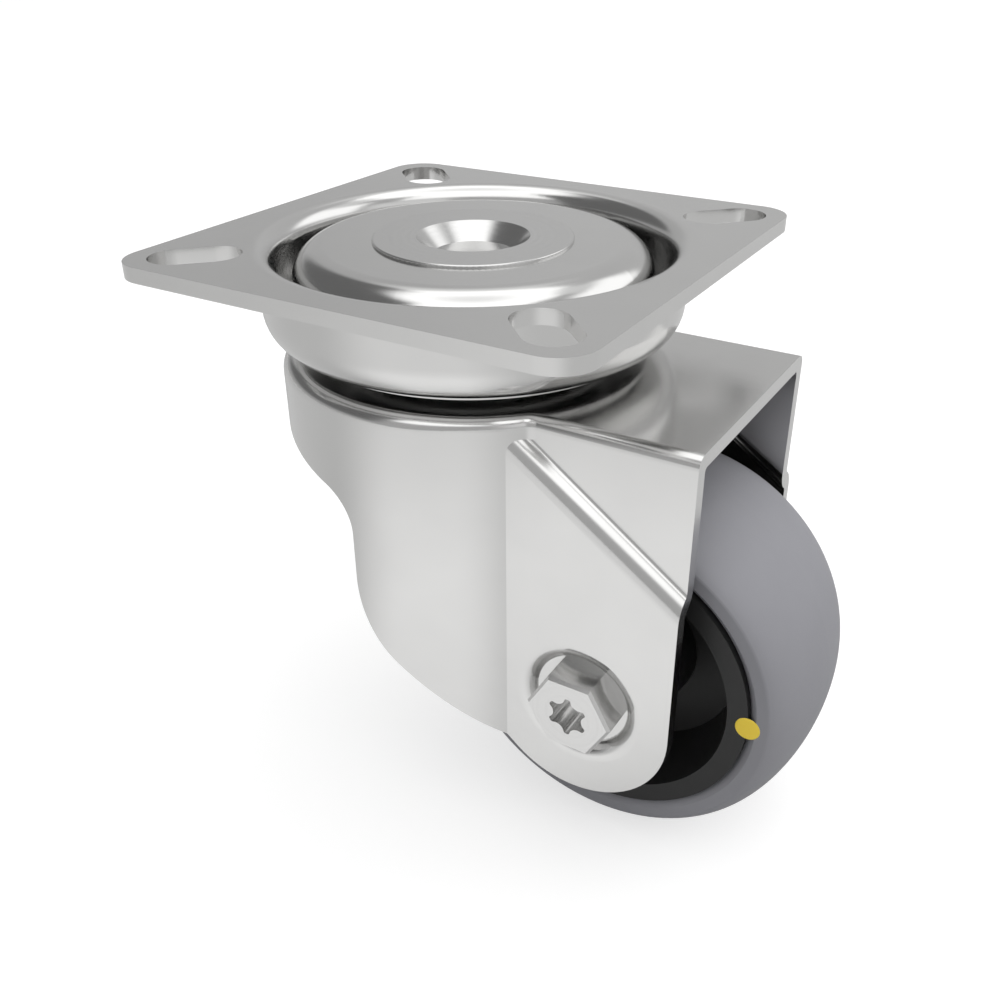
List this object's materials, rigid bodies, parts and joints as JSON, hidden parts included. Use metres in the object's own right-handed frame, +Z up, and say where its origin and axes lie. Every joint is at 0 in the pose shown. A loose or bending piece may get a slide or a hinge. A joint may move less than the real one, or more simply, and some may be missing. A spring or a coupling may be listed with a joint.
{
  "type": "swivel plate caster",
  "caption": "Small swivel caster with a square slotted top plate, pressed steel fork on a double ball race, and a grey tread wheel on a black rim.",
  "frame": {"origin": "centre of the plate's top mounting face, on the swivel axis", "axes": "+Z up out of the mounting face, +X towards the trailing wheel, Y along the wheel axle with the bolt head on -Y"},
  "size_m": [0.0799, 0.06, 0.0731],
  "materials": {
    "pressed_steel": "satin",
    "turned_steel": "satin",
    "ball_steel": "polished",
    "black_plastic": "matt",
    "grey_tyre": "matt",
    "insert_plastic": "matt"
  },
  "bodies": {
    "plate": {"top_plate": "pressed_steel"},
    "swivel": {"fork": "pressed_steel", "swivel_cap": "pressed_steel", "king_pin": "turned_steel", "axle_bolt": "turned_steel", "axle_nut": "turned_steel", "nut_insert": "insert_plastic", "axle_sleeve": "turned_steel"},
    "wheel": {"wheel_tyre": "grey_tyre", "wheel_rim": "black_plastic"},
    "balls": {"upper_ball_01": "ball_steel", "upper_ball_02": "ball_steel", "upper_ball_03": "ball_steel", "upper_ball_04": "ball_steel", "upper_ball_05": "ball_steel", "upper_ball_06": "ball_steel", "upper_ball_07": "ball_steel", "upper_ball_08": "ball_steel", "upper_ball_09": "ball_steel", "upper_ball_10": "ball_steel", "upper_ball_11": "ball_steel", "upper_ball_12": "ball_steel", "upper_ball_13": "ball_steel", "upper_ball_14": "ball_steel", "lower_ball_01": "ball_steel", "lower_ball_02": "ball_steel", "lower_ball_03": "ball_steel", "lower_ball_04": "ball_steel", "lower_ball_05": "ball_steel", "lower_ball_06": "ball_steel", "lower_ball_07": "ball_steel", "lower_ball_08": "ball_steel", "lower_ball_09": "ball_steel", "lower_ball_10": "ball_steel", "lower_ball_11": "ball_steel", "lower_ball_12": "ball_steel", "lower_ball_13": "ball_steel", "lower_ball_14": "ball_steel", "lower_ball_15": "ball_steel", "lower_ball_16": "ball_steel", "lower_ball_17": "ball_steel", "lower_ball_18": "ball_steel", "lower_ball_19": "ball_steel", "lower_ball_20": "ball_steel"}
  },
  "joints": [
    {"name": "swivel", "type": "hinge", "parent": "plate", "child": "swivel", "pos_m": [0, 0, -0.0134], "axis": [0, 0, 1], "continuous": true},
    {"name": "wheel_spin", "type": "hinge", "parent": "swivel", "child": "wheel", "pos_m": [0.0253, 0, -0.0485], "axis": [0, 1, 0], "continuous": true},
    {"name": "ball_orbit", "type": "hinge", "parent": "plate", "child": "balls", "pos_m": [0, 0, -0.0134], "axis": [0, 0, 1], "continuous": true}
  ],
  "couplings": [
    {"joint": "ball_orbit", "follows": "swivel", "ratio": 0.5}
  ]
}
